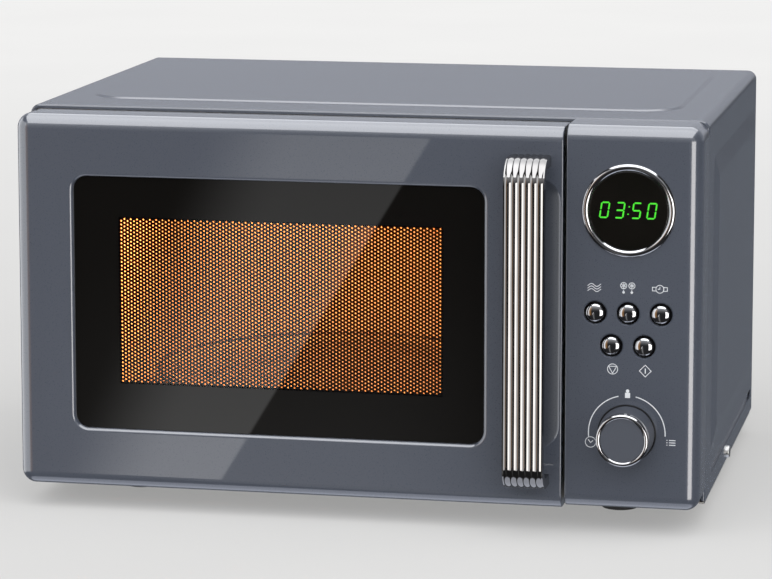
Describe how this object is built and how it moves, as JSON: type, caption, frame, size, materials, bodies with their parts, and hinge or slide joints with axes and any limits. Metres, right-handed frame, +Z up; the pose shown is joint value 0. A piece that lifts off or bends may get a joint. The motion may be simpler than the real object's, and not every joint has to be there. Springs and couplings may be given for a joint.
{
  "type": "microwave oven",
  "caption": "Countertop microwave oven with a side-hung window door, ribbed bar handle, turntable, round display, push buttons and a rotary selector.",
  "frame": {"origin": "on the worktop under the middle of the oven's box", "axes": "+X to the right of someone facing the door, +Y from the door to the back, +Z up"},
  "size_m": [0.4444, 0.358, 0.2588],
  "materials": {
    "case_paint": "gloss slate-grey enamel over sheet steel",
    "front_paint": "gloss slate-grey lacquer over moulded plastic",
    "bright_chrome": "mirror-bright plating",
    "window_glass": "clear float glass with a black printed border",
    "screen_steel": "black enamelled perforated steel",
    "cavity_enamel": "light grey baked enamel",
    "plain_steel": "zinc-plated sheet",
    "rubber_feet": "matt moulded rubber",
    "black_plastic": "fine-grained moulding",
    "signal_plastic": "small red mouldings",
    "display_tint": "smoked clear cover",
    "tray_glass": "pressed clear glass",
    "white_plastic": "heat-proof white moulding",
    "mica_sheet": "pressed mica",
    "lamp_glass": "clear bulb glass",
    "motor_steel": "varnished laminations and pressed cans",
    "copper_winding": "enamelled copper wire",
    "bare_aluminium": "drawn and stamped",
    "circuit_board": "printed board with soldered parts"
  },
  "bodies": {
    "housing": {"base_plate": "plain_steel", "cabinet": "case_paint", "capacitor_clamp": "plain_steel", "case_screws": "plain_steel", "control_board": "circuit_board", "control_panel": "front_paint", "cord_gland": "rubber_feet", "display_bezel": "bright_chrome", "display_lens": "display_tint", "display_module": "black_plastic", "door_hinges": "plain_steel", "fan_duct": "black_plastic", "fan_motor": "motor_steel", "feet": "rubber_feet", "filter_board": "circuit_board", "front_plate": "cavity_enamel", "hv_capacitor": "bare_aluminium", "hv_diode": "circuit_board", "interlock_bracket": "black_plastic", "interlock_switches": "black_plastic", "lamp_bulb": "lamp_glass", "lamp_holder": "white_plastic", "magnetron_antenna": "bare_aluminium", "magnetron_fins": "bare_aluminium", "magnetron_yoke": "plain_steel", "oven_cavity": "cavity_enamel", "rear_panel": "plain_steel", "rotary_encoder": "black_plastic", "thermal_cutouts": "plain_steel", "transformer_coils": "copper_winding", "transformer_core": "motor_steel", "turntable_motor": "motor_steel", "waveguide": "plain_steel", "waveguide_cover": "mica_sheet"},
    "door": {"door_frame": "front_paint", "door_glass": "window_glass", "door_screen": "screen_steel", "door_choke": "black_plastic", "handle_bar": "bright_chrome", "handle_screws": "plain_steel", "latch_spring": "plain_steel"},
    "latch": {"door_latch": "black_plastic"},
    "turntable_drive": {"turntable_coupler": "white_plastic"},
    "glass_plate": {"glass_turntable": "tray_glass"},
    "roller_support": {"roller_ring": "white_plastic"},
    "roller_wheel_1": {"roller_1": "white_plastic"},
    "roller_wheel_2": {"roller_2": "white_plastic"},
    "roller_wheel_3": {"roller_3": "white_plastic"},
    "fan": {"fan_blade": "white_plastic"},
    "selector": {"knob_body": "front_paint", "knob_ring": "bright_chrome", "encoder_spindle": "plain_steel"},
    "power_button": {"button_power": "bright_chrome"},
    "defrost_button": {"button_defrost": "bright_chrome"},
    "clock_button": {"button_clock": "bright_chrome"},
    "stop_button": {"button_stop": "bright_chrome"},
    "start_button": {"button_start": "bright_chrome"},
    "primary_plunger": {"plunger_primary": "signal_plastic"},
    "secondary_plunger": {"plunger_secondary": "signal_plastic"},
    "monitor_plunger": {"plunger_monitor": "signal_plastic"}
  },
  "joints": [
    {"name": "door_swing", "type": "hinge", "parent": "housing", "child": "door", "pos_m": [-0.212, -0.129, 0.135], "axis": [0, 0, -1], "range_deg": [0, 100]},
    {"name": "latch_lift", "type": "slide", "parent": "door", "child": "latch", "axis": [0, 0, 1], "range_m": [0, 0.004], "stiffness_N_per_m": 400, "springref_m": -0.004, "deforming": ["latch_spring"]},
    {"name": "turntable_spin", "type": "hinge", "parent": "housing", "child": "turntable_drive", "pos_m": [-0.05, 0.0285, 0.05], "axis": [0, 0, 1], "continuous": true},
    {"name": "plate_lift", "type": "slide", "parent": "turntable_drive", "child": "glass_plate", "axis": [0, 0, 1], "range_m": [0, 0.08]},
    {"name": "roller_ring_spin", "type": "hinge", "parent": "housing", "child": "roller_support", "pos_m": [-0.05, 0.0285, 0.0493], "axis": [0, 0, 1], "continuous": true},
    {"name": "roller_1_spin", "type": "hinge", "parent": "roller_support", "child": "roller_wheel_1", "pos_m": [-0.05, 0.1325, 0.0493], "axis": [0, 1, 0], "continuous": true},
    {"name": "roller_2_spin", "type": "hinge", "parent": "roller_support", "child": "roller_wheel_2", "pos_m": [-0.14007, -0.0235, 0.0493], "axis": [-0.866, -0.5, 0], "continuous": true},
    {"name": "roller_3_spin", "type": "hinge", "parent": "roller_support", "child": "roller_wheel_3", "pos_m": [0.04007, -0.0235, 0.0493], "axis": [0.866, -0.5, 0], "continuous": true},
    {"name": "fan_spin", "type": "hinge", "parent": "housing", "child": "fan", "pos_m": [0.1591, 0.161, 0.152], "axis": [0, -1, 0], "continuous": true},
    {"name": "selector_turn", "type": "hinge", "parent": "housing", "child": "selector", "pos_m": [0.1745, -0.1505, 0.0654], "axis": [0, -1, 0], "continuous": true},
    {"name": "power_press", "type": "slide", "parent": "housing", "child": "power_button", "axis": [0, 1, 0], "range_m": [0, 0.0012], "stiffness_N_per_m": 800},
    {"name": "defrost_press", "type": "slide", "parent": "housing", "child": "defrost_button", "axis": [0, 1, 0], "range_m": [0, 0.0012], "stiffness_N_per_m": 800},
    {"name": "clock_press", "type": "slide", "parent": "housing", "child": "clock_button", "axis": [0, 1, 0], "range_m": [0, 0.0012], "stiffness_N_per_m": 800},
    {"name": "stop_press", "type": "slide", "parent": "housing", "child": "stop_button", "axis": [0, 1, 0], "range_m": [0, 0.0012], "stiffness_N_per_m": 800},
    {"name": "start_press", "type": "slide", "parent": "housing", "child": "start_button", "axis": [0, 1, 0], "range_m": [0, 0.0012], "stiffness_N_per_m": 800},
    {"name": "primary_press", "type": "slide", "parent": "housing", "child": "primary_plunger", "axis": [0, 1, 0], "range_m": [0, 0.001], "stiffness_N_per_m": 500},
    {"name": "secondary_press", "type": "slide", "parent": "housing", "child": "secondary_plunger", "axis": [0, 1, 0], "range_m": [0, 0.001], "stiffness_N_per_m": 500},
    {"name": "monitor_press", "type": "slide", "parent": "housing", "child": "monitor_plunger", "axis": [0, 1, 0], "range_m": [0, 0.001], "stiffness_N_per_m": 500}
  ],
  "couplings": [
    {"joint": "roller_ring_spin", "follows": "turntable_spin", "ratio": 0.5},
    {"joint": "roller_1_spin", "follows": "turntable_spin", "ratio": -7.4286},
    {"joint": "roller_2_spin", "follows": "turntable_spin", "ratio": -7.4286},
    {"joint": "roller_3_spin", "follows": "turntable_spin", "ratio": -7.4286}
  ]
}
